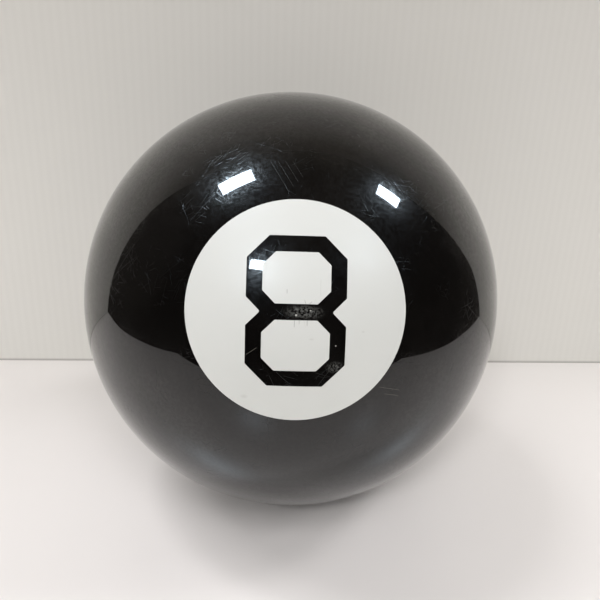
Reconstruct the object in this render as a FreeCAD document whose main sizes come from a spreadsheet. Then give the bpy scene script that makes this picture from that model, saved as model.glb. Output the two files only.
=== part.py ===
import FreeCAD, Part
import os
import Sketcher

# A black eight ball of bowling-ball size, undrilled: a cast cover over a filler core, with a
# weight block and its locator pin at the heavy side, and a number patch of thin white film
# on the front and on the back.
#
# The origin is the ball's centre and +Z is up.  The front number faces -Y and is tipped up
# by number_tilt.  The heavy side is at the bottom, where the ball comes to rest.

DRIVING_SIZES = {
    "ball_diameter": 217.0,
    "cover_thickness": 22.0,
    "block_radius": 50.0,
    "block_rim_thickness": 6.0,
    "pin_diameter": 6.35,
    "pin_seat_depth": 8.0,
    "film_thickness": 0.1,
    "disc_diameter": 88.2,
    "number_tilt": 18.5,
    "numeral_height": 59.0,
    "numeral_width": 39.2,
    "numeral_stroke": 6.3,
    "counter_chamfer": 5.0,
    "corner_radius": 0.8,
}

BALL_RADIUS = "Sizes.ball_diameter / 2"
CORE_RADIUS = "(Sizes.ball_diameter / 2 - Sizes.cover_thickness)"
PIN_RADIUS = "Sizes.pin_diameter / 2"
FILM_RADIUS = "(Sizes.ball_diameter / 2 + Sizes.film_thickness)"

# The weight block's flat inner face and its rim, as heights below the ball's centre.
RIM_DEPTH = f"sqrt({CORE_RADIUS} ^ 2 - Sizes.block_radius ^ 2)"
BLOCK_FACE_HEIGHT = f"-({RIM_DEPTH} - Sizes.block_rim_thickness)"
PIN_TOP_HEIGHT = f"-({CORE_RADIUS} - Sizes.pin_seat_depth)"

# The numeral's half sizes, seen square on, with its centre at the patch's centre.  The strokes
# keep one width round the 45 degree corners, so the outer corner is cut deeper than the
# inner one by (2 - sqrt(2)) strokes.
HALF_WIDTH = "Sizes.numeral_width / 2"
HALF_HEIGHT = "Sizes.numeral_height / 2"
OUTER_CHAMFER = "(Sizes.counter_chamfer + (2 - sqrt(2)) * Sizes.numeral_stroke)"
COUNTER_HALF_WIDTH = "(Sizes.numeral_width / 2 - Sizes.numeral_stroke)"
COUNTER_TOP = "(Sizes.numeral_height / 2 - Sizes.numeral_stroke)"
COUNTER_BOTTOM = "Sizes.numeral_stroke / 2"
WAIST_HALF_WIDTH = (
    f"({COUNTER_HALF_WIDTH} - Sizes.counter_chamfer - {COUNTER_BOTTOM}"
    " + sqrt(2) * Sizes.numeral_stroke)"
)
WAIST_HEIGHT = f"({HALF_WIDTH} - {WAIST_HALF_WIDTH})"

# The film's surfaces have a seam line where their turning starts.  It is turned this many
# degrees about the number axis, so that it meets no corner of the numeral's outline.
SEAM_TURN = 6.0

AXIS_X = FreeCAD.Vector(1, 0, 0)
AXIS_Y = FreeCAD.Vector(0, 1, 0)
START = 1
END = 2
CENTRE = 3
ORIGIN_POINT = (-1, 1)
VERTICAL_AXIS = -2
PARALLEL_TOLERANCE = 1e-6


def make_sheet(doc):
    sheet = doc.addObject("Spreadsheet::Sheet", "Sizes")
    for row, (alias, value) in enumerate(DRIVING_SIZES.items(), start=1):
        sheet.set(f"A{row}", alias)
        sheet.set(f"B{row}", str(value))
        sheet.setAlias(f"B{row}", alias)
    doc.recompute()
    return sheet


def make_body(doc, label):
    body = doc.addObject("PartDesign::Body", label)
    body.Label = label
    return body


def make_sketch(body, role, name):
    """Attach a new sketch to one of the body's own origin planes."""
    plane = next(item for item in body.Origin.OriginFeatures if item.Role == role)
    sketch = body.newObject("Sketcher::SketchObject", name)
    sketch.AttachmentSupport = (plane, [""])
    sketch.MapMode = "FlatFace"
    return sketch


def evaluate(sketch, expression):
    """Work out an expression on the sheet, for placing geometry before it is constrained."""
    return float(sketch.evalExpression(expression))


def bind(sketch, kind, references, expression):
    """Add one dimension and tie it to an expression on the sheet."""
    value = evaluate(sketch, expression)
    index = sketch.addConstraint(Sketcher.Constraint(kind, *references, value))
    sketch.setExpression(f"Constraints[{index}]", expression)


def join(sketch, first, first_end, second, second_end):
    sketch.addConstraint(Sketcher.Constraint("Coincident", first, first_end, second, second_end))


def close_loop(sketch, pieces):
    """Join the pieces end to start, in order and round to the first again."""
    for index, piece in enumerate(pieces):
        join(sketch, pieces[index - 1], END, piece, START)


def add_line(sketch, start, end):
    return sketch.addGeometry(Part.LineSegment(FreeCAD.Vector(*start), FreeCAD.Vector(*end)))


def add_arc(sketch, radius_expression, start, end):
    """Add an arc about the ball's centre, running anticlockwise from start to end."""
    radius = evaluate(sketch, radius_expression)
    middle = FreeCAD.Vector(start[0] + end[0], start[1] + end[1], 0)
    middle = middle.normalize() * radius
    arc = Part.Arc(FreeCAD.Vector(*start, 0), middle, FreeCAD.Vector(*end, 0))
    index = sketch.addGeometry(arc)
    sketch.addConstraint(Sketcher.Constraint("Coincident", index, CENTRE, *ORIGIN_POINT))
    bind(sketch, "Radius", (index,), radius_expression)
    return index


def drop(radius, offset):
    """Height of a sphere of this radius, at a distance offset from its axis."""
    return (radius * radius - offset * offset) ** 0.5


def make_revolution(body, sketch):
    revolution = body.newObject("PartDesign::Revolution", "Revolution")
    revolution.Profile = sketch
    revolution.ReferenceAxis = (sketch, ["V_Axis"])
    revolution.Angle = 360
    sketch.Visibility = False
    return revolution


def build_cover_shell(doc):
    """Cast polyester cover: a hollow ball, open only where the locator pin comes through."""
    body = make_body(doc, "cover_shell")
    sketch = make_sketch(body, "XZ_Plane", "cover_section")
    ball = evaluate(sketch, BALL_RADIUS)
    core = evaluate(sketch, CORE_RADIUS)
    pin = evaluate(sketch, PIN_RADIUS)
    outside = add_arc(sketch, BALL_RADIUS, (pin, -drop(ball, pin)), (0, ball))
    crown = add_line(sketch, (0, ball), (0, core))
    inside = add_arc(sketch, CORE_RADIUS, (pin, -drop(core, pin)), (0, core))
    pin_wall = add_line(sketch, (pin, -drop(core, pin)), (pin, -drop(ball, pin)))
    join(sketch, outside, END, crown, START)
    join(sketch, crown, END, inside, END)
    join(sketch, inside, START, pin_wall, START)
    join(sketch, pin_wall, END, outside, START)
    sketch.addConstraint(Sketcher.Constraint("PointOnObject", crown, START, VERTICAL_AXIS))
    sketch.addConstraint(Sketcher.Constraint("Vertical", crown))
    sketch.addConstraint(Sketcher.Constraint("Vertical", pin_wall))
    bind(sketch, "DistanceX", (*ORIGIN_POINT, pin_wall, START), PIN_RADIUS)
    make_revolution(body, sketch)
    return body


def build_inner_core(doc):
    """Filler core: a ball with a flat-floored recess for the weight block."""
    body = make_body(doc, "inner_core")
    sketch = make_sketch(body, "XZ_Plane", "core_section")
    core = evaluate(sketch, CORE_RADIUS)
    rim = evaluate(sketch, "Sizes.block_radius")
    floor_height = evaluate(sketch, BLOCK_FACE_HEIGHT)
    outside = add_arc(sketch, CORE_RADIUS, (rim, -drop(core, rim)), (0, core))
    axis = add_line(sketch, (0, core), (0, floor_height))
    recess_floor = add_line(sketch, (0, floor_height), (rim, floor_height))
    recess_wall = add_line(sketch, (rim, floor_height), (rim, -drop(core, rim)))
    close_loop(sketch, [outside, axis, recess_floor, recess_wall])
    sketch.addConstraint(Sketcher.Constraint("PointOnObject", axis, START, VERTICAL_AXIS))
    sketch.addConstraint(Sketcher.Constraint("Vertical", axis))
    sketch.addConstraint(Sketcher.Constraint("Horizontal", recess_floor))
    sketch.addConstraint(Sketcher.Constraint("Vertical", recess_wall))
    bind(sketch, "DistanceX", (*ORIGIN_POINT, recess_wall, START), "Sizes.block_radius")
    bind(sketch, "DistanceY", (*ORIGIN_POINT, recess_floor, START), BLOCK_FACE_HEIGHT)
    make_revolution(body, sketch)
    return body


def build_weight_block(doc):
    """Dense pancake block: flat inside, domed outside to finish the core's sphere."""
    body = make_body(doc, "weight_block")
    sketch = make_sketch(body, "XZ_Plane", "block_section")
    core = evaluate(sketch, CORE_RADIUS)
    rim = evaluate(sketch, "Sizes.block_radius")
    face_height = evaluate(sketch, BLOCK_FACE_HEIGHT)
    dome = add_arc(sketch, CORE_RADIUS, (0, -core), (rim, -drop(core, rim)))
    rim_wall = add_line(sketch, (rim, -drop(core, rim)), (rim, face_height))
    inner_face = add_line(sketch, (rim, face_height), (0, face_height))
    axis = add_line(sketch, (0, face_height), (0, -core))
    close_loop(sketch, [dome, rim_wall, inner_face, axis])
    sketch.addConstraint(Sketcher.Constraint("PointOnObject", axis, START, VERTICAL_AXIS))
    sketch.addConstraint(Sketcher.Constraint("Vertical", axis))
    sketch.addConstraint(Sketcher.Constraint("Horizontal", inner_face))
    sketch.addConstraint(Sketcher.Constraint("Vertical", rim_wall))
    bind(sketch, "DistanceX", (*ORIGIN_POINT, rim_wall, START), "Sizes.block_radius")
    bind(sketch, "DistanceY", (*ORIGIN_POINT, inner_face, START), BLOCK_FACE_HEIGHT)
    make_revolution(body, sketch)
    cut_pin_seat(body)
    return body


def cut_pin_seat(body):
    """Blind hole in the middle of the block's dome, for the locator pin."""
    sketch = make_sketch(body, "XY_Plane", "pin_seat_circle")
    sketch.setExpression("AttachmentOffset.Base.z", PIN_TOP_HEIGHT)
    radius = evaluate(sketch, PIN_RADIUS)
    circle = sketch.addGeometry(
        Part.Circle(FreeCAD.Vector(0, 0, 0), FreeCAD.Vector(0, 0, 1), radius)
    )
    sketch.addConstraint(Sketcher.Constraint("Coincident", circle, CENTRE, *ORIGIN_POINT))
    bind(sketch, "Radius", (circle,), PIN_RADIUS)
    seat = body.newObject("PartDesign::Pocket", "PinSeat")
    seat.Profile = sketch
    seat.Type = "ThroughAll"
    sketch.Visibility = False


def build_locator_pin(doc):
    """Pin that located the block in the mould; its lower end is ground flush with the cover."""
    body = make_body(doc, "locator_pin")
    sketch = make_sketch(body, "XZ_Plane", "pin_section")
    ball = evaluate(sketch, BALL_RADIUS)
    pin = evaluate(sketch, PIN_RADIUS)
    top_height = evaluate(sketch, PIN_TOP_HEIGHT)
    end_dome = add_arc(sketch, BALL_RADIUS, (0, -ball), (pin, -drop(ball, pin)))
    side = add_line(sketch, (pin, -drop(ball, pin)), (pin, top_height))
    top = add_line(sketch, (pin, top_height), (0, top_height))
    axis = add_line(sketch, (0, top_height), (0, -ball))
    close_loop(sketch, [end_dome, side, top, axis])
    sketch.addConstraint(Sketcher.Constraint("PointOnObject", axis, START, VERTICAL_AXIS))
    sketch.addConstraint(Sketcher.Constraint("Vertical", axis))
    sketch.addConstraint(Sketcher.Constraint("Horizontal", top))
    sketch.addConstraint(Sketcher.Constraint("Vertical", side))
    bind(sketch, "DistanceX", (*ORIGIN_POINT, side, START), PIN_RADIUS)
    bind(sketch, "DistanceY", (*ORIGIN_POINT, top, START), PIN_TOP_HEIGHT)
    make_revolution(body, sketch)
    return body


def make_film_cap(body):
    """Round patch of film lying on the ball, with the body's +Z through its middle."""
    sketch = make_sketch(body, "XZ_Plane", "film_section")
    sketch.AttachmentOffset = FreeCAD.Placement(
        FreeCAD.Vector(0, 0, 0), FreeCAD.Rotation(AXIS_Y, SEAM_TURN)
    )
    ball = evaluate(sketch, BALL_RADIUS)
    film = evaluate(sketch, FILM_RADIUS)
    edge = evaluate(sketch, "Sizes.disc_diameter / 2")
    outside = add_arc(sketch, FILM_RADIUS, (edge, drop(film, edge)), (0, film))
    middle = add_line(sketch, (0, film), (0, ball))
    inside = add_arc(sketch, BALL_RADIUS, (edge, drop(ball, edge)), (0, ball))
    rim = add_line(sketch, (edge, drop(ball, edge)), (edge, drop(film, edge)))
    join(sketch, outside, END, middle, START)
    join(sketch, middle, END, inside, END)
    join(sketch, inside, START, rim, START)
    join(sketch, rim, END, outside, START)
    sketch.addConstraint(Sketcher.Constraint("PointOnObject", middle, START, VERTICAL_AXIS))
    sketch.addConstraint(Sketcher.Constraint("Vertical", middle))
    sketch.addConstraint(Sketcher.Constraint("Vertical", rim))
    bind(sketch, "DistanceX", (*ORIGIN_POINT, rim, START), "Sizes.disc_diameter / 2")
    return make_revolution(body, sketch)


def add_outline(sketch, corners):
    """Draw a closed outline and bind each corner's place to its pair of expressions."""
    places = [[evaluate(sketch, expression) for expression in corner] for corner in corners]
    lines = [
        add_line(sketch, places[index - 1], place) for index, place in enumerate(places)
    ]
    close_loop(sketch, lines)
    for line, (across, up) in zip(lines, corners):
        bind(sketch, "DistanceX", (*ORIGIN_POINT, line, END), across)
        bind(sketch, "DistanceY", (*ORIGIN_POINT, line, END), up)


def numeral_corners():
    """Outline of the 8: two octagonal loops that share the middle bar, and a waist notch."""
    right_side = [
        (f"{HALF_WIDTH} - {OUTER_CHAMFER}", HALF_HEIGHT),
        (HALF_WIDTH, f"{HALF_HEIGHT} - {OUTER_CHAMFER}"),
        (HALF_WIDTH, WAIST_HEIGHT),
        (WAIST_HALF_WIDTH, "0"),
        (HALF_WIDTH, f"-{WAIST_HEIGHT}"),
        (HALF_WIDTH, f"-({HALF_HEIGHT} - {OUTER_CHAMFER})"),
        (f"{HALF_WIDTH} - {OUTER_CHAMFER}", f"-({HALF_HEIGHT})"),
    ]
    left_side = [(f"-({across})", up) for across, up in reversed(right_side)]
    return right_side + left_side


def counter_corners(side):
    """Octagonal eye of one loop of the 8; side is "" for the upper eye and "-" for the lower."""
    inset = "Sizes.counter_chamfer"
    right_side = [
        (f"{COUNTER_HALF_WIDTH} - {inset}", f"{side}({COUNTER_TOP})"),
        (COUNTER_HALF_WIDTH, f"{side}({COUNTER_TOP} - {inset})"),
        (COUNTER_HALF_WIDTH, f"{side}({COUNTER_BOTTOM} + {inset})"),
        (f"{COUNTER_HALF_WIDTH} - {inset}", f"{side}({COUNTER_BOTTOM})"),
    ]
    left_side = [(f"-({across})", up) for across, up in reversed(right_side)]
    return right_side + left_side


def add_waste_circle(sketch):
    """Circle just outside the film's edge, so that a cut takes everything round an island."""
    expression = "Sizes.disc_diameter / 2 + Sizes.numeral_stroke"
    radius = evaluate(sketch, expression)
    circle = sketch.addGeometry(
        Part.Circle(FreeCAD.Vector(0, 0, 0), FreeCAD.Vector(0, 0, 1), radius)
    )
    sketch.addConstraint(Sketcher.Constraint("Coincident", circle, CENTRE, *ORIGIN_POINT))
    bind(sketch, "Radius", (circle,), expression)


def cut_film(body, corners, keeps_inside):
    """Cut the film along an outline, as a plotter knife does, and drop the waste."""
    sketch = make_sketch(body, "XY_Plane", "cut_line")
    sketch.setExpression("AttachmentOffset.Base.z", FILM_RADIUS)
    add_outline(sketch, corners)
    if keeps_inside:
        add_waste_circle(sketch)
    cut = body.newObject("PartDesign::Pocket", "KnifeCut")
    cut.Profile = sketch
    cut.Type = "ThroughAll"
    sketch.Visibility = False
    return cut


def round_cut_corners(body, cut):
    """Round every corner of the cut outline by the knife's own turning radius."""
    body.Document.recompute()
    straight_down = FreeCAD.Vector(0, 0, 1)
    names = []
    for number, edge in enumerate(cut.Shape.Edges, start=1):
        if isinstance(edge.Curve, Part.Line) and len(edge.Vertexes) == 2:
            across = edge.tangentAt(edge.FirstParameter).cross(straight_down).Length
            if across < PARALLEL_TOLERANCE and not is_seam(cut.Shape, edge):
                names.append(f"Edge{number}")
    fillet = body.newObject("PartDesign::Fillet", "KnifeRadius")
    fillet.Base = (cut, names)
    fillet.setExpression("Radius", "Sizes.corner_radius")
    body.Tip = fillet


def is_seam(shape, edge):
    """True for an edge whose two sides belong to one and the same face."""
    return len(shape.ancestorsOfType(edge, Part.Face)) < 2


def turn_to_side(body, turn_expression):
    """Turn the body about X so that its +Z points where the number faces."""
    body.Placement = FreeCAD.Placement(FreeCAD.Vector(0, 0, 0), FreeCAD.Rotation(AXIS_X, 90))
    body.setExpression("Placement.Rotation.Angle", turn_expression)


def build_number_film(doc, side, turn_expression):
    """One number patch: the white disc with an 8-shaped window, and the two eyes of the 8."""
    outlines = {
        "number_disc": (numeral_corners(), False),
        "upper_counter": (counter_corners(""), True),
        "lower_counter": (counter_corners("-"), True),
    }
    bodies = []
    for name, (corners, keeps_inside) in outlines.items():
        body = make_body(doc, f"{name}_{side}")
        make_film_cap(body)
        cut = cut_film(body, corners, keeps_inside)
        round_cut_corners(body, cut)
        turn_to_side(body, turn_expression)
        bodies.append(body)
    return bodies


def check_document(doc, bodies):
    """Stop before anything is written if a feature failed or a piece isn't one sound solid."""
    for item in doc.Objects:
        if "Invalid" in item.State or "Error" in item.State:
            raise RuntimeError(f"{item.Name} failed: {item.State}")
    for body in bodies:
        shape = body.Shape
        if shape.isNull() or not shape.isValid() or len(shape.Solids) != 1:
            raise RuntimeError(f"{body.Label} is not one valid solid")


def check_cuts(doc, sheet):
    """Stop if a pocket removed less than a film's thickness cubed: it points the wrong way."""
    least = sheet.film_thickness ** 3
    for pocket in doc.findObjects("PartDesign::Pocket"):
        if pocket.BaseFeature.Shape.Volume - pocket.Shape.Volume < least:
            raise RuntimeError(f"{pocket.Name} removed nothing")


def write_parts(bodies):
    os.makedirs("parts", exist_ok=True)
    for body in bodies:
        body.Shape.exportStep(os.path.join("parts", f"{body.Label}.step"))
        print(f"{body.Label}: {body.Shape.Volume:.1f} mm3")


def main():
    doc = FreeCAD.newDocument("EightBall")
    sheet = make_sheet(doc)
    bodies = [
        build_cover_shell(doc),
        build_inner_core(doc),
        build_weight_block(doc),
        build_locator_pin(doc),
    ]
    bodies += build_number_film(doc, "front", "90 deg - Sizes.number_tilt * 1 deg")
    bodies += build_number_film(doc, "back", "270 deg - Sizes.number_tilt * 1 deg")
    doc.recompute()
    check_document(doc, bodies)
    check_cuts(doc, sheet)
    write_parts(bodies)


main()
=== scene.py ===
import math

import bpy
import numpy as np
from mathutils import Matrix, Vector


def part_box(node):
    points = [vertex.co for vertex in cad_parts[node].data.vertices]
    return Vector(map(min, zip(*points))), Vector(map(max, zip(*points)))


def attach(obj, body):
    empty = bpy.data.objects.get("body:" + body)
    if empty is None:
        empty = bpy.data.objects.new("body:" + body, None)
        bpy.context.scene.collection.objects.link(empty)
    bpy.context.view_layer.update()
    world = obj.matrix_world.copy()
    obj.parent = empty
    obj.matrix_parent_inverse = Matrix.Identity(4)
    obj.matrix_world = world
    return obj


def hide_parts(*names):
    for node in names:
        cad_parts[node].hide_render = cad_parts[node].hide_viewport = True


# An eight ball of bowling-ball size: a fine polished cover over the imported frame, satin film
# for the number, and a plain studio set round it.  Everything is in metres, with the ball's
# centre at the origin and +Z up.

MM = 0.001

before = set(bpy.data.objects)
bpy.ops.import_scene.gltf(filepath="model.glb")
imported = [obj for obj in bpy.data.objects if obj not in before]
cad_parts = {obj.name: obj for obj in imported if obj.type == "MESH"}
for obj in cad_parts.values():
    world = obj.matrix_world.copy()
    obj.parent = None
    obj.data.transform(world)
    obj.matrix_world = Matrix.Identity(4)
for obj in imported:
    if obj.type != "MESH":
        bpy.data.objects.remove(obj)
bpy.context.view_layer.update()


# ---------------------------------------------------------------- sizes from the frame

def half_width(node):
    """Half of a node's size across the ball."""
    low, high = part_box(node)
    return (high.x - low.x) / 2


film_low, film_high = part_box("number_disc_front")

BALL_RADIUS = -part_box("locator_pin")[0].z
CORE_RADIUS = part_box("inner_core")[1].z
PIN_RADIUS = half_width("locator_pin")

# The patch's rim runs from its highest to its lowest point on the ball, and the number faces
# halfway between them.
NUMBER_TILT = (math.asin(film_high.z / BALL_RADIUS) + math.asin(film_low.z / BALL_RADIUS)) / 2


def patch_height(height):
    """Distance up the patch from its middle, for a height on the ball's middle plane."""
    return BALL_RADIUS * math.sin(math.asin(height / BALL_RADIUS) - NUMBER_TILT)


# The middle bar of the 8 lies between the counters, and is as wide as every other stroke.
STROKE = patch_height(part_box("upper_counter_front")[0].z) - patch_height(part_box("lower_counter_front")[1].z)
COUNTER_EDGE = half_width("upper_counter_front") / STROKE


# ---------------------------------------------------------------- shader building blocks

def add_node(tree, kind, inputs=None, **settings):
    """Add a node, set its properties, and fill or link its inputs by name or number."""
    node = tree.nodes.new(kind)
    for name, value in settings.items():
        setattr(node, name, value)
    for key, value in (inputs or {}).items():
        if isinstance(value, bpy.types.NodeSocket):
            tree.links.new(value, node.inputs[key])
        else:
            node.inputs[key].default_value = value
    return node


def calc(tree, operation, *values, clamp=False):
    """One scalar sum, such as calc(tree, "MULTIPLY", a, 2.0)."""
    inputs = dict(enumerate(values))
    return add_node(tree, "ShaderNodeMath", inputs, operation=operation, use_clamp=clamp).outputs[0]


def vector(tree, operation, *values):
    """One vector sum; scalar answers come from the node's second output."""
    node = add_node(tree, "ShaderNodeVectorMath", operation=operation)
    for socket, value in zip(node.inputs, values):
        if isinstance(value, bpy.types.NodeSocket):
            tree.links.new(value, socket)
        else:
            socket.default_value = value
    scalar = operation in ("DOT_PRODUCT", "LENGTH")
    return node.outputs["Value" if scalar else "Vector"]


def scaled(tree, value, factor):
    """A vector times a scalar."""
    inputs = {0: value, "Scale": factor}
    return add_node(tree, "ShaderNodeVectorMath", inputs, operation="SCALE").outputs["Vector"]


def ramp(tree, value, low, high, out_low=0.0, out_high=1.0):
    """Smooth step of value from low to high, spread between two answers."""
    inputs = {"Value": value, "From Min": low, "From Max": high, "To Min": out_low, "To Max": out_high}
    node = add_node(tree, "ShaderNodeMapRange", inputs, interpolation_type="SMOOTHSTEP")
    return node.outputs["Result"]


def noise(tree, position, size, detail=3.0, roughness=0.5, distortion=0.0):
    """Noise with features about size metres across, from 0 to 1."""
    inputs = {"Vector": position, "Scale": 1.0 / size, "Detail": detail}
    inputs.update({"Roughness": roughness, "Distortion": distortion})
    return add_node(tree, "ShaderNodeTexNoise", inputs, noise_dimensions="3D")


def mix_colour(tree, factor, first, second):
    """The first colour at 0, the second at 1."""
    inputs = {"Factor": factor, 6: first, 7: second}
    node = add_node(tree, "ShaderNodeMix", inputs, data_type="RGBA", blend_type="MIX")
    return node.outputs[2]


def rgb(red, green, blue):
    return (red, green, blue, 1.0)


def new_material(name):
    """Material with a Principled surface, and the place on the object for its patterns."""
    material = bpy.data.materials.new(name)
    material.use_nodes = True
    tree = material.node_tree
    tree.nodes.clear()
    output = add_node(tree, "ShaderNodeOutputMaterial")
    surface = add_node(tree, "ShaderNodeBsdfPrincipled")
    tree.links.new(surface.outputs["BSDF"], output.inputs["Surface"])
    position = add_node(tree, "ShaderNodeTexCoord").outputs["Object"]
    return material, tree, surface, position


def connect(tree, surface, values):
    """Fill or link the surface's inputs by name."""
    for name, value in values.items():
        if isinstance(value, bpy.types.NodeSocket):
            tree.links.new(value, surface.inputs[name])
        else:
            surface.inputs[name].default_value = value


def patch_position(tree, position):
    """Place on the front number patch in strokes: x across the 8, y up it, z out along its axis."""
    turn = math.pi / 2 - NUMBER_TILT
    inputs = {"Vector": position, "Axis": (1.0, 0.0, 0.0), "Angle": -turn}
    node = add_node(tree, "ShaderNodeVectorRotate", inputs, rotation_type="AXIS_ANGLE")
    return scaled(tree, node.outputs["Vector"], 1.0 / STROKE)


# ---------------------------------------------------------------- wear on the surfaces

def hairlines(tree, position, normal, cell, width, share, bend=0.0):
    """Hairline scratches, at most one across each cell of the surface, straight unless bent.

    Returns the scratch's mask and the direction across it, zero away from a scratch.
    """
    if bend:
        wander = noise(tree, position, cell, detail=1.0).outputs["Color"]
        wander = vector(tree, "SUBTRACT", wander, (0.5, 0.5, 0.5))
        position = vector(tree, "ADD", position, scaled(tree, wander, bend))
    inputs = {"Vector": position, "Scale": 1.0 / cell, "Randomness": 1.0}
    cells = add_node(tree, "ShaderNodeTexVoronoi", inputs, feature="F1")
    chance = add_node(tree, "ShaderNodeSeparateColor", {0: cells.outputs["Color"]})
    heading = vector(tree, "SUBTRACT", cells.outputs["Color"], (0.5, 0.5, 0.5))
    heading = vector(tree, "NORMALIZE", heading)
    across = vector(tree, "CROSS_PRODUCT", normal, heading)
    # A cell whose heading points straight out of the surface has no direction to scratch in.
    level = vector(tree, "LENGTH", across)
    across = vector(tree, "NORMALIZE", across)
    offset = vector(tree, "SUBTRACT", position, cells.outputs["Position"])
    distance = calc(tree, "ABSOLUTE", vector(tree, "DOT_PRODUCT", offset, across))
    line = ramp(tree, distance, width / 2, width / 4)
    kept = calc(tree, "LESS_THAN", chance.outputs["Blue"], share)
    line = calc(tree, "MULTIPLY", line, calc(tree, "MULTIPLY", kept, ramp(tree, level, 0.3, 0.4)))
    return line, scaled(tree, across, line)


def spot(tree, place, x, y, reach_x, reach_y):
    """Soft oval in the place's X and Y, 1 in its middle and 0 outside."""
    offset = vector(tree, "SUBTRACT", place, (x, y, 0.0))
    offset = vector(tree, "MULTIPLY", offset, (1.0 / reach_x, 1.0 / reach_y, 0.0))
    return ramp(tree, vector(tree, "LENGTH", offset), 1.0, 0.0)


def tick(tree, place, start, end, width):
    """Thin straight mark in the place's X and Y, from start to end."""
    start = Vector((*start, 0.0))
    run = Vector((*end, 0.0)) - start
    along = run.normalized()
    beside = Vector((-along.y, along.x, 0.0))
    offset = vector(tree, "SUBTRACT", place, start)
    travel = vector(tree, "DOT_PRODUCT", offset, along)
    past_start = ramp(tree, travel, -width, width)
    before_end = ramp(tree, travel, run.length, run.length - 2 * width)
    distance = calc(tree, "ABSOLUTE", vector(tree, "DOT_PRODUCT", offset, beside))
    line = ramp(tree, distance, width / 2, 0.0)
    return calc(tree, "MULTIPLY", line, calc(tree, "MULTIPLY", past_start, before_end))


def strongest(tree, masks):
    """The highest of several masks at each point."""
    total = masks[0]
    for mask in masks[1:]:
        total = calc(tree, "MAXIMUM", total, mask)
    return total


# ---------------------------------------------------------------- materials

# A row of parallel long scratches lies just above the patch, each shorter than the last.
ROW_COUNT = 4
ROW_START = (-1.9, 9.8)
ROW_STEP = 0.5
ROW_RUN = (1.3, -2.2)
ROW_SHRINK = 0.15
MARK_WIDTH = 0.06


def scratch_row(tree, place):
    """The row's scratches, side by side."""
    marks = []
    for step in range(ROW_COUNT):
        start = (ROW_START[0] + step * ROW_STEP, ROW_START[1])
        length = 1.0 - step * ROW_SHRINK
        end = (start[0] + ROW_RUN[0] * length, start[1] + ROW_RUN[1] * length)
        marks.append(tick(tree, place, start, end, MARK_WIDTH))
    return strongest(tree, marks)


# Hairline scratches of five sizes: the cell's size, the line's width and its bend in
# millimetres, and the share of cells that hold one.
HAIRLINES = (
    (34.0, 0.28, 6.0, 0.9), (20.0, 0.26, 3.0, 0.9), (12.0, 0.24, 0.0, 0.9),
    (7.0, 0.22, 0.0, 0.8), (3.5, 0.20, 0.0, 0.7),
)
# Away from scratches the gloss's grain runs round this axis, at a weight that any scratch outdoes.
GRAIN_AXIS = (0.3, 0.4, 0.86)
GRAIN_WEIGHT = 0.01
RIPPLE_LEAN = 0.006
SCRATCH_ROUGHNESS = 0.28
ROW_ROUGHNESS = 0.25
SCUFF_ROUGHNESS = 0.35
SCRATCH_GRAIN = 0.85


def all_hairlines(tree, position, normal):
    """Mask of every hairline, and the direction across the scratches at each point."""
    masks = []
    across = scaled(tree, vector(tree, "CROSS_PRODUCT", normal, GRAIN_AXIS), GRAIN_WEIGHT)
    for cell, width, bend, share in HAIRLINES:
        shift = (cell * MM, 2 * cell * MM, 3 * cell * MM)
        shifted = vector(tree, "ADD", position, shift)
        line, side = hairlines(tree, shifted, normal, cell * MM, width * MM, share, bend * MM)
        masks.append(line)
        across = vector(tree, "ADD", across, side)
    return strongest(tree, masks), vector(tree, "NORMALIZE", across)


def handling(tree, position, place, front):
    """How much each part is rubbed and handled: the upper half and the front are the most."""
    height = add_node(tree, "ShaderNodeSeparateXYZ", {0: position}).outputs["Z"]
    handled = ramp(tree, height, -0.2 * BALL_RADIUS, 0.7 * BALL_RADIUS, 0.50, 1.0)
    rubbed = calc(tree, "MULTIPLY", spot(tree, place, 0.0, 0.0, 8.0, 8.0), front)
    handled = calc(tree, "MAXIMUM", handled, rubbed)
    # A thumb's smear lies on the upper loop's left stroke.
    smear = spot(tree, place, -COUNTER_EDGE - 0.5, 1.8, 0.8, 1.8)
    smear = calc(tree, "MULTIPLY", smear, front)
    return calc(tree, "ADD", handled, calc(tree, "MULTIPLY", smear, 2.0))


def numeral_scuffs_and_reflection(tree, position, place, front):
    """Grainy scuff marks on the bar, and a grainy painted reflection on the lower loop's right stroke, on the
    black that shows through the 8.
    """
    grain = noise(tree, position, 0.9 * MM, detail=4.0, roughness=0.7).outputs["Fac"]
    grain = ramp(tree, grain, 0.42, 0.58)
    scuffs_and_reflection = strongest(tree, [
        spot(tree, place, 0.5, 0.0, 1.6, 0.6),
        spot(tree, place, 0.0, 0.1, 0.3, 0.4),
        # Painted reflection: a paler patch, standing for the room's reflection, on the lower loop's right
        # stroke.
        spot(tree, place, COUNTER_EDGE + 0.4, -3.5, 0.7, 0.5),
    ])
    return calc(tree, "MULTIPLY", calc(tree, "MULTIPLY", scuffs_and_reflection, grain), front)


def numeral_chips_and_glint(tree, place, front):
    """Two small pale chip marks on the bar, and a painted glint of a lamp on the lower loop's right stroke, all
    in the same black.
    """
    chips_and_glint = strongest(tree, [
        spot(tree, place, 0.0, -0.2, 0.1, 0.1),
        spot(tree, place, 0.9, 0.1, 0.06, 0.06),
        # Painted glint: a lamp's reflection, painted as a pale spot on the lower loop's right stroke.
        spot(tree, place, COUNTER_EDGE + 0.4, -2.1, 0.06, 0.06),
    ])
    return calc(tree, "MULTIPLY", chips_and_glint, front)


def drag_marks(tree, place, front):
    """Single short drags, one across the lower loop and two beside the patch."""
    drags = strongest(tree, [
        tick(tree, place, (-3.1, -2.8), (-2.4, -2.3), MARK_WIDTH),
        tick(tree, place, (5.6, -4.9), (7.1, -5.2), MARK_WIDTH),
        tick(tree, place, (6.0, -5.4), (7.1, -5.6), MARK_WIDTH),
    ])
    return calc(tree, "MULTIPLY", drags, front)


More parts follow.
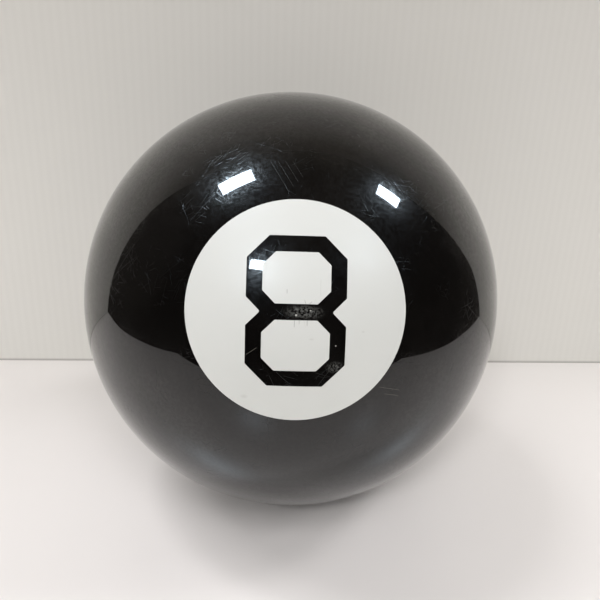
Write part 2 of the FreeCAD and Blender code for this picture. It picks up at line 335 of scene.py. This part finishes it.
def black_polyester():
    """Polished cast polyester: a mirror gloss over a faint haze, with hairlines, scuff marks, and a painted
    glint and a painted reflection on the numeral.
    """
    material, tree, surface, position = new_material("black_polyester")
    normal = add_node(tree, "ShaderNodeNewGeometry").outputs["Normal"]
    scratch, across = all_hairlines(tree, position, normal)
    worn = noise(tree, position, 16 * MM, detail=4.0, roughness=0.6).outputs["Fac"]
    scratch = calc(tree, "MULTIPLY", scratch, ramp(tree, worn, 0.39, 0.62))

    # A cast and hand-polished surface is never quite a true sphere at small scale.
    ripple = noise(tree, position, 22 * MM, detail=2.0).outputs["Color"]
    ripple = vector(tree, "SUBTRACT", ripple, (0.5, 0.5, 0.5))
    leaning = vector(tree, "ADD", normal, scaled(tree, ripple, RIPPLE_LEAN))
    leaning = vector(tree, "NORMALIZE", leaning)

    haze = noise(tree, position, 45 * MM, detail=5.0, roughness=0.6).outputs["Fac"]
    haze = ramp(tree, haze, 0.42, 0.68)
    grime = noise(tree, position, 9 * MM, detail=6.0, roughness=0.7).outputs["Fac"]
    grime = ramp(tree, grime, 0.5, 0.8)

    place = patch_position(tree, position)
    front = calc(tree, "GREATER_THAN", add_node(tree, "ShaderNodeSeparateXYZ", {0: place}).outputs["Z"], 0.0)
    handled = handling(tree, position, place, front)
    haze_weight = calc(tree, "MULTIPLY", handled, ramp(tree, haze, 0.0, 1.0, 0.20, 0.40))
    haze_grain = noise(tree, position, 1.6 * MM, detail=3.0, roughness=0.7).outputs["Fac"]
    haze_weight = calc(tree, "MULTIPLY", haze_weight, ramp(tree, haze_grain, 0.38, 0.62, 0.35, 1.4))

    scuffs_and_reflection = numeral_scuffs_and_reflection(tree, position, place, front)
    chips_and_glint = numeral_chips_and_glint(tree, place, front)
    drag = drag_marks(tree, place, front)
    row = calc(tree, "MULTIPLY", scratch_row(tree, place), front)

    base = mix_colour(tree, haze, rgb(0.0014, 0.0012, 0.0011), rgb(0.0034, 0.0030, 0.0026))
    base = mix_colour(tree, calc(tree, "MULTIPLY", scuffs_and_reflection, 0.8), base, rgb(0.13, 0.13, 0.12))
    base = mix_colour(tree, calc(tree, "MULTIPLY", row, 0.1), base, rgb(0.16, 0.16, 0.15))
    base = mix_colour(tree, calc(tree, "MULTIPLY", drag, 0.5), base, rgb(0.16, 0.15, 0.13))
    base = mix_colour(tree, chips_and_glint, base, rgb(0.62, 0.62, 0.58))

    gloss = ramp(tree, haze, 0.0, 1.0, 0.030, 0.045)
    gloss = calc(tree, "ADD", gloss, calc(tree, "MULTIPLY", grime, 0.02))
    gloss = calc(tree, "ADD", gloss, calc(tree, "MULTIPLY", scratch, SCRATCH_ROUGHNESS))
    gloss = calc(tree, "ADD", gloss, calc(tree, "MULTIPLY", row, ROW_ROUGHNESS))
    gloss = calc(tree, "ADD", gloss, calc(tree, "MULTIPLY", scuffs_and_reflection, SCUFF_ROUGHNESS), clamp=True)
    connect(tree, surface, {
        "Base Color": base,
        "Roughness": gloss,
        "IOR": 1.5,
        "Anisotropic": calc(tree, "MULTIPLY", scratch, SCRATCH_GRAIN),
        "Tangent": across,
        "Coat Weight": haze_weight,
        "Coat Roughness": 0.26,
        "Coat IOR": 1.4,
        "Normal": leaning,
        "Coat Normal": leaning,
    })
    return material


def white_film():
    """Satin white sign film: a fine even grain, faint handling marks and a few cracks."""
    material, tree, surface, position = new_material("white_film")
    grain = noise(tree, position, 0.7 * MM, detail=3.0).outputs["Fac"]
    cloud = noise(tree, position, 18 * MM, detail=4.0).outputs["Fac"]
    stain = noise(tree, position, 6 * MM, detail=5.0, roughness=0.65).outputs["Fac"]
    stain = ramp(tree, stain, 0.56, 0.80)

    place = patch_position(tree, position)
    # Dark cracks, most of them out from the bar's edges, and fainter marks round about.
    bar_edge = 0.5
    cracks = strongest(tree, [
        tick(tree, place, (-0.1, -bar_edge), (-0.1, -1.0), 0.05),
        tick(tree, place, (0.2, -bar_edge), (0.2, -0.8), 0.04),
        tick(tree, place, (0.7, -bar_edge), (0.7, -0.9), 0.05),
        tick(tree, place, (0.6, bar_edge), (0.5, 0.8), 0.04),
        tick(tree, place, (0.8, bar_edge), (1.0, 0.7), 0.04),
        tick(tree, place, (-0.6, 1.4), (-0.6, 1.1), 0.05),
    ])
    faint = strongest(tree, [
        tick(tree, place, (1.5, 2.1), (1.5, 1.0), 0.06),
        tick(tree, place, (0.5, -bar_edge), (0.6, -1.0), 0.05),
        tick(tree, place, (1.1, bar_edge), (1.2, 0.9), 0.04),
        spot(tree, place, 1.0, -1.7, 0.25, 0.1),
        spot(tree, place, 4.3, -1.2, 0.15, 0.1),
        spot(tree, place, -3.2, -5.6, 0.35, 0.2),
    ])

    colour = mix_colour(tree, cloud, rgb(0.640, 0.650, 0.618), rgb(0.625, 0.635, 0.600))
    colour = mix_colour(tree, calc(tree, "MULTIPLY", stain, 0.25), colour, rgb(0.66, 0.65, 0.58))
    colour = mix_colour(tree, calc(tree, "MULTIPLY", faint, 0.30), colour, rgb(0.40, 0.39, 0.35))
    colour = mix_colour(tree, calc(tree, "MULTIPLY", cracks, 0.75), colour, rgb(0.10, 0.10, 0.09))
    bump = add_node(tree, "ShaderNodeBump", {"Height": grain, "Strength": 0.10, "Distance": 0.05 * MM})
    connect(tree, surface, {
        "Base Color": colour,
        "Roughness": ramp(tree, cloud, 0.3, 0.7, 0.36, 0.44),
        "IOR": 1.46,
        "Normal": bump.outputs["Normal"],
    })
    return material


def pin_resin():
    """Ivory casting resin, ground and polished with the cover."""
    material, tree, surface, position = new_material("pin_resin")
    swirl = noise(tree, position, 3 * MM, detail=4.0, distortion=1.5).outputs["Fac"]
    rings = add_node(tree, "ShaderNodeTexWave", {"Vector": position, "Scale": 160.0}, wave_type="RINGS")
    bump = add_node(
        tree, "ShaderNodeBump", {"Height": rings.outputs["Fac"], "Strength": 0.08, "Distance": 0.02 * MM}
    )
    connect(tree, surface, {
        "Base Color": mix_colour(tree, swirl, rgb(0.72, 0.65, 0.48), rgb(0.60, 0.52, 0.36)),
        "Roughness": ramp(tree, swirl, 0.3, 0.7, 0.12, 0.2),
        "Normal": bump.outputs["Normal"],
    })
    return material


def core_filler():
    """Grainy filler: cork-coloured resin with fine glass bubbles."""
    material, tree, surface, position = new_material("core_filler")
    mottle = noise(tree, position, 14 * MM, detail=6.0, roughness=0.6).outputs["Fac"]
    grains = add_node(tree, "ShaderNodeTexVoronoi", {"Vector": position, "Scale": 1.0 / (1.1 * MM)})
    bump = add_node(
        tree, "ShaderNodeBump", {"Height": grains.outputs["Distance"], "Strength": 0.4, "Distance": 0.2 * MM}
    )
    connect(tree, surface, {
        "Base Color": mix_colour(tree, mottle, rgb(0.45, 0.38, 0.29), rgb(0.34, 0.29, 0.22)),
        "Roughness": ramp(tree, grains.outputs["Distance"], 0.1, 0.6, 0.85, 0.65),
        "Normal": bump.outputs["Normal"],
    })
    return material


def block_resin():
    """Dense mineral-filled resin, swirled in the pour."""
    material, tree, surface, position = new_material("block_resin")
    swirl = noise(tree, position, 20 * MM, detail=5.0, distortion=2.5).outputs["Fac"]
    grit = noise(tree, position, 0.8 * MM, detail=2.0).outputs["Fac"]
    bump = add_node(tree, "ShaderNodeBump", {"Height": grit, "Strength": 0.25, "Distance": 0.1 * MM})
    connect(tree, surface, {
        "Base Color": mix_colour(tree, swirl, rgb(0.36, 0.11, 0.08), rgb(0.22, 0.06, 0.05)),
        "Roughness": ramp(tree, grit, 0.3, 0.7, 0.42, 0.58),
        "Normal": bump.outputs["Normal"],
    })
    return material


# ---------------------------------------------------------------- the pieces

def dress(obj, material):
    obj.data.materials.clear()
    obj.data.materials.append(material)


def arc_profile(radius, start, end, steps):
    """Points (distance from axis, height) on an arc, by angle up from straight down."""
    angles = np.linspace(start, end, steps)
    return [(radius * math.sin(angle), -radius * math.cos(angle)) for angle in angles]


def lathe(name, profile, segments):
    """Turn a profile that begins and ends on the Z axis into one closed, smooth mesh."""
    ring_points = profile[1:-1]
    turns = np.linspace(0.0, 2.0 * math.pi, segments, endpoint=False)
    cosines, sines = np.cos(turns), np.sin(turns)
    points = [(0.0, 0.0, profile[0][1])]
    for radius, height in ring_points:
        points.extend(zip(radius * cosines, radius * sines, [height] * segments))
    points.append((0.0, 0.0, profile[-1][1]))

    faces = []
    last = len(points) - 1
    for step in range(segments):
        following = (step + 1) % segments
        faces.append((0, 1 + step, 1 + following))
        for ring in range(len(ring_points) - 1):
            near, far = 1 + ring * segments, 1 + (ring + 1) * segments
            faces.append((near + step, far + step, far + following, near + following))
        near = 1 + (len(ring_points) - 1) * segments
        faces.append((near + step, last, near + following))
    mesh = bpy.data.meshes.new(name)
    mesh.from_pydata(points, [], faces)
    mesh.validate()
    mesh.update()
    piece = bpy.data.objects.new(name, mesh)
    bpy.context.scene.collection.objects.link(piece)
    return piece


COVER_OUTER_STEPS = 208
COVER_INNER_STEPS = 40
COVER_SEGMENTS = 352
RIM_ANGLE = math.radians(35)


def build_cover():
    """Cover with its hollow and the pin's hole, fine enough for clean mirror reflections."""
    rim_outside = math.asin(PIN_RADIUS / BALL_RADIUS)
    rim_inside = math.asin(PIN_RADIUS / CORE_RADIUS)
    outside = arc_profile(BALL_RADIUS, math.pi, rim_outside, COVER_OUTER_STEPS)
    inside = arc_profile(CORE_RADIUS, rim_inside, math.pi, COVER_INNER_STEPS)
    cover = lathe("cover", outside + inside, COVER_SEGMENTS)
    for polygon in cover.data.polygons:
        polygon.use_smooth = True
    cover.data.set_sharp_from_angle(angle=RIM_ANGLE)
    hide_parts("cover_shell")
    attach(cover, "root")
    dress(cover, black_polyester())


def dress_packed_nodes(nodes):
    """Put the film on every patch piece, and each inner piece's own material on it."""
    film = white_film()
    for name, node in nodes.items():
        if name.startswith(("number_disc", "upper_counter", "lower_counter")):
            dress(node, film)
    dress(nodes["locator_pin"], pin_resin())
    dress(nodes["inner_core"], core_filler())
    dress(nodes["weight_block"], block_resin())


build_cover()
dress_packed_nodes(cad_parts)


# ---------------------------------------------------------------- the set

# The set is measured in ball radii from the ball's centre.  The ball mirrors a bench and a wall
# of these outlines.  A wider floor and backdrop go on past them, hidden from reflections.
BENCH_PLAN = (
    (-5.6, 1.1), (-4.9, -0.2), (-4.6, -1.5), (-4.1, -3.1),
    (4.2, -3.4), (4.9, -1.3), (5.3, -0.1), (5.5, 1.5),
)
# The wall stands a little askew, and its right edge runs outwards as it rises.
WALL_DISTANCE = 1.28
WALL_SKEW = 0.037
WALL_OUTLINE = (
    (-5.5, -1.0), (5.2, -1.0), (5.6, 0.6), (6.5, 1.5),
    (7.6, 2.9), (8.8, 4.8), (10.4, 9.0), (-6.5, 9.0),
)
FLOOR_REACH = 40.0
BACKDROP_OUTLINE = (
    (-FLOOR_REACH, -1.0), (FLOOR_REACH, -1.0), (FLOOR_REACH, FLOOR_REACH), (-FLOOR_REACH, FLOOR_REACH),
)
FLOOR_GAP = 0.2 * MM
SEAM_SHADOW_HEIGHT = 2.5 * MM
FLUTE_PITCH = 5.7 * MM


def wall_depth(across):
    """How far the wall stands behind the ball's centre, in ball radii."""
    return WALL_DISTANCE + WALL_SKEW * across


def stage_mesh(name, points, faces, material):
    mesh = bpy.data.meshes.new(name)
    mesh.from_pydata([tuple(point) for point in points], [], faces)
    mesh.update()
    obj = bpy.data.objects.new(name, mesh)
    bpy.context.scene.collection.objects.link(obj)
    mesh.materials.append(material)
    return obj


def one_sided(tree, shader, struck=None):
    """Clear to anything that comes from behind, and wholly clear once the set piece is struck."""
    facing = add_node(tree, "ShaderNodeNewGeometry").outputs["Backfacing"]
    factor = facing if struck is None else calc(tree, "MAXIMUM", facing, struck)
    clear = add_node(tree, "ShaderNodeBsdfTransparent")
    blend = add_node(tree, "ShaderNodeMixShader", {0: factor, 1: shader, 2: clear.outputs[0]})
    output = next(node for node in tree.nodes if node.type == "OUTPUT_MATERIAL")
    tree.links.new(blend.outputs[0], output.inputs["Surface"])


def floor_material():
    """Plain pale board with a faint gloss and hardly any mottling."""
    material, tree, surface, position = new_material("stage_floor")
    cloud = noise(tree, position, 90 * MM, detail=1.0).outputs["Fac"]
    connect(tree, surface, {
        "Base Color": mix_colour(tree, cloud, rgb(0.81, 0.780, 0.750), rgb(0.795, 0.765, 0.735)),
        "Roughness": 0.30,
        "IOR": 1.45,
    })
    one_sided(tree, surface.outputs["BSDF"])
    return material


def wall_material(camera):
    """Fluted white sheet, with painted shade towards its top and a painted shadow at its foot.  It is struck,
    so that it can't be in the way, when the camera is behind.

    A driver reads how far back the camera stands, and the material compares it with the wall.
    """
    material, tree, surface, position = new_material("stage_wall")
    place = add_node(tree, "ShaderNodeSeparateXYZ", {0: position})
    across, height = place.outputs["X"], place.outputs["Z"]
    flute = calc(tree, "SINE", calc(tree, "MULTIPLY", across, 2 * math.pi / FLUTE_PITCH))
    flute = ramp(tree, flute, -1.0, 1.0)
    cloud = noise(tree, position, 120 * MM, detail=3.0).outputs["Fac"]
    colour = mix_colour(tree, flute, rgb(0.73, 0.715, 0.67), rgb(0.742, 0.727, 0.682))
    colour = mix_colour(tree, calc(tree, "MULTIPLY", cloud, 0.3), colour, rgb(0.69, 0.67, 0.60))
    # Painted shade: the sheet darkens towards the dim room as it rises, as lamp light falls off, and a painted
    # shadow darkens it where it meets the floor.
    painted_falloff_shade = ramp(tree, height, -0.5 * BALL_RADIUS, 7.0 * BALL_RADIUS, 0.0, 0.85)
    colour = mix_colour(tree, painted_falloff_shade, colour, rgb(0.12, 0.10, 0.075))
    # Painted shadow: a thin dark band along the foot of the wall, where it meets the floor.
    painted_seam_shadow = ramp(tree, height, -BALL_RADIUS + SEAM_SHADOW_HEIGHT, -BALL_RADIUS, 0.0, 0.6)
    colour = mix_colour(tree, painted_seam_shadow, colour, rgb(0.20, 0.18, 0.16))
    connect(tree, surface, {"Base Color": colour, "Roughness": 0.8, "Specular IOR Level": 0.0})
    depth = add_node(tree, "ShaderNodeValue").outputs[0]
    driver = depth.driver_add("default_value").driver
    driver.type = "SUM"
    reading = driver.variables.new()
    reading.type = "TRANSFORMS"
    reading.targets[0].id = camera
    reading.targets[0].transform_type = "LOC_Y"
    struck = calc(tree, "GREATER_THAN", depth, WALL_DISTANCE * BALL_RADIUS)
    one_sided(tree, surface.outputs["BSDF"], struck)
    return material


def build_set(camera):
    """Bench, floor, wall and backdrop."""
    radius = BALL_RADIUS
    board = floor_material()
    plan = [(x * radius, y * radius, -radius) for x, y in BENCH_PLAN]
    stage_mesh("stage_bench", plan, [tuple(range(len(plan)))], board)
    reach = FLOOR_REACH * radius
    low = -radius - FLOOR_GAP
    corners = [(-reach, -reach, low), (reach, -reach, low), (reach, reach, low), (-reach, reach, low)]
    floor = stage_mesh("stage_floor", corners, [(0, 1, 2, 3)], board)
    floor.visible_glossy = False

    wall = wall_material(camera)
    outline = [(x * radius, wall_depth(x) * radius, z * radius) for x, z in WALL_OUTLINE]
    stage_mesh("stage_wall", outline, [tuple(range(len(outline)))], wall)
    corners = [(side, wall_depth(side) + FLOOR_GAP / radius, height) for side, height in BACKDROP_OUTLINE]
    corners = [Vector(corner) * radius for corner in corners]
    backdrop = stage_mesh("stage_backdrop", corners, [(0, 1, 2, 3)], wall)
    backdrop.visible_glossy = False
    backdrop.visible_diffuse = False
    backdrop.visible_shadow = False


def direction(azimuth, elevation):
    """Unit vector; azimuth 0 points to the viewer's side, -Y, and 90 to +X."""
    azimuth, elevation = math.radians(azimuth), math.radians(elevation)
    flat = math.cos(elevation)
    return Vector((math.sin(azimuth) * flat, -math.cos(azimuth) * flat, math.sin(elevation)))


def add_lamp(name, azimuth, elevation, width, height, radiance, colour, distance):
    """Rectangular lamp aimed at the ball; width and height are the angles it fills, in degrees."""
    away = distance * BALL_RADIUS
    data = bpy.data.lights.new(name, "AREA")
    data.shape = "RECTANGLE"
    data.size = 2 * away * math.tan(math.radians(width / 2))
    data.size_y = 2 * away * math.tan(math.radians(height / 2))
    data.energy = radiance * math.pi * data.size * data.size_y
    data.color = colour
    lamp = bpy.data.objects.new(name, data)
    towards = direction(azimuth, elevation)
    facing = towards.to_track_quat("Z", "Y").to_matrix().to_4x4()
    lamp.matrix_world = Matrix.Translation(towards * away) @ facing
    lamp.visible_camera = False
    bpy.context.scene.collection.objects.link(lamp)
    return lamp


PANEL_DISTANCE = 14.0
SOFT_DISTANCE = 60.0
COOL = (0.72, 0.87, 1.0)
SOFT = (0.98, 0.97, 1.0)


def build_lamps():
    """Soft lamps light the matt surfaces, and four plain panels show in the gloss."""
    for name, azimuth, elevation, width, height, radiance in (
        ("soft_left_high", -100, 65, 7, 16, 27),
        ("soft_left_low", -95, 49, 6.5, 17, 18),
        ("soft_front_low", -20, 36, 11.5, 8, 34),
        ("soft_front_high", 5, 50, 32, 20, 6),
        ("soft_right_high", 94, 48, 14, 13, 14),
        ("soft_right_low", 90, 29, 7, 8, 13),
    ):
        lamp = add_lamp(name, azimuth, elevation, width, height, radiance, SOFT, SOFT_DISTANCE)
        lamp.visible_glossy = False
    for name, azimuth, elevation, width, height, radiance in (
        ("panel_left", -80, 65, 7, 14.5, 80),
        ("panel_right", 89, 50.5, 6, 10, 80),
        ("panel_front", -19.5, 35.5, 10.5, 4.5, 80),
        ("panel_aside", 43, 38, 6, 5, 60),
    ):
        lamp = add_lamp(name, azimuth, elevation, width, height, radiance, COOL, PANEL_DISTANCE)
        lamp.visible_diffuse = False


def build_world():
    """Pale to the camera, soft fill to matt surfaces, and a dim room to mirror surfaces."""
    world = bpy.data.worlds.new("studio")
    bpy.context.scene.world = world
    world.use_nodes = True
    tree = world.node_tree
    tree.nodes.clear()
    output = add_node(tree, "ShaderNodeOutputWorld")
    towards = add_node(tree, "ShaderNodeTexCoord").outputs["Generated"]
    axes = add_node(tree, "ShaderNodeSeparateXYZ", {0: towards})
    behind, height = axes.outputs["Y"], axes.outputs["Z"]
    path = add_node(tree, "ShaderNodeLightPath")
    ceiling = mix_colour(tree, ramp(tree, behind, -0.2, 0.5), rgb(0.075, 0.06, 0.05), rgb(0.24, 0.22, 0.18))
    room = mix_colour(tree, ramp(tree, height, 0.45, 0.85), rgb(0.040, 0.034, 0.030), ceiling)
    facing = vector(tree, "DOT_PRODUCT", towards, (0.0, -0.8, 0.6))
    fill = mix_colour(tree, ramp(tree, facing, 0.1, 1.0), rgb(0.10, 0.10, 0.09), rgb(0.24, 0.235, 0.22))
    pale = rgb(0.80, 0.78, 0.755)
    colour = mix_colour(tree, path.outputs["Is Glossy Ray"], fill, room)
    colour = mix_colour(tree, path.outputs["Is Camera Ray"], colour, pale)
    background = add_node(tree, "ShaderNodeBackground", {"Color": colour})
    tree.links.new(background.outputs[0], output.inputs["Surface"])


# ---------------------------------------------------------------- the camera

CAMERA_AZIMUTH = -1.1
CAMERA_ELEVATION = 21.2
CAMERA_DISTANCE = 3.30
CAMERA_ROLL = 1.8
CAMERA_LENS = 39.0
CAMERA_SENSOR = 36.0
# The ball sits a little left of and above the middle of the frame, as shares of its width.
BALL_ACROSS = -0.0142
BALL_UP = 0.0022


def build_camera():
    """Camera at the photograph's viewing angle, aimed so that the ball takes its place in the frame."""
    data = bpy.data.cameras.new("camera")
    data.lens = CAMERA_LENS
    data.sensor_width = CAMERA_SENSOR
    data.clip_start = 0.01
    camera = bpy.data.objects.new("camera", data)
    bpy.context.scene.collection.objects.link(camera)
    bpy.context.scene.camera = camera
    back = direction(CAMERA_AZIMUTH, CAMERA_ELEVATION)
    camera.rotation_mode = "QUATERNION"
    camera.location = back * CAMERA_DISTANCE * BALL_RADIUS
    level = (-back).to_track_quat("-Z", "Y").to_matrix()
    rolled = level @ Matrix.Rotation(math.radians(CAMERA_ROLL), 3, "Z")
    frame_width = CAMERA_SENSOR / CAMERA_LENS
    seen = Vector((BALL_ACROSS * frame_width, BALL_UP * frame_width, -1.0)).normalized()
    swing = (rolled @ seen).rotation_difference(-back)
    camera.rotation_quaternion = swing @ rolled.to_quaternion()
    return camera


camera = build_camera()
build_set(camera)
build_lamps()
build_world()
bpy.context.scene.view_settings.view_transform = "Standard"
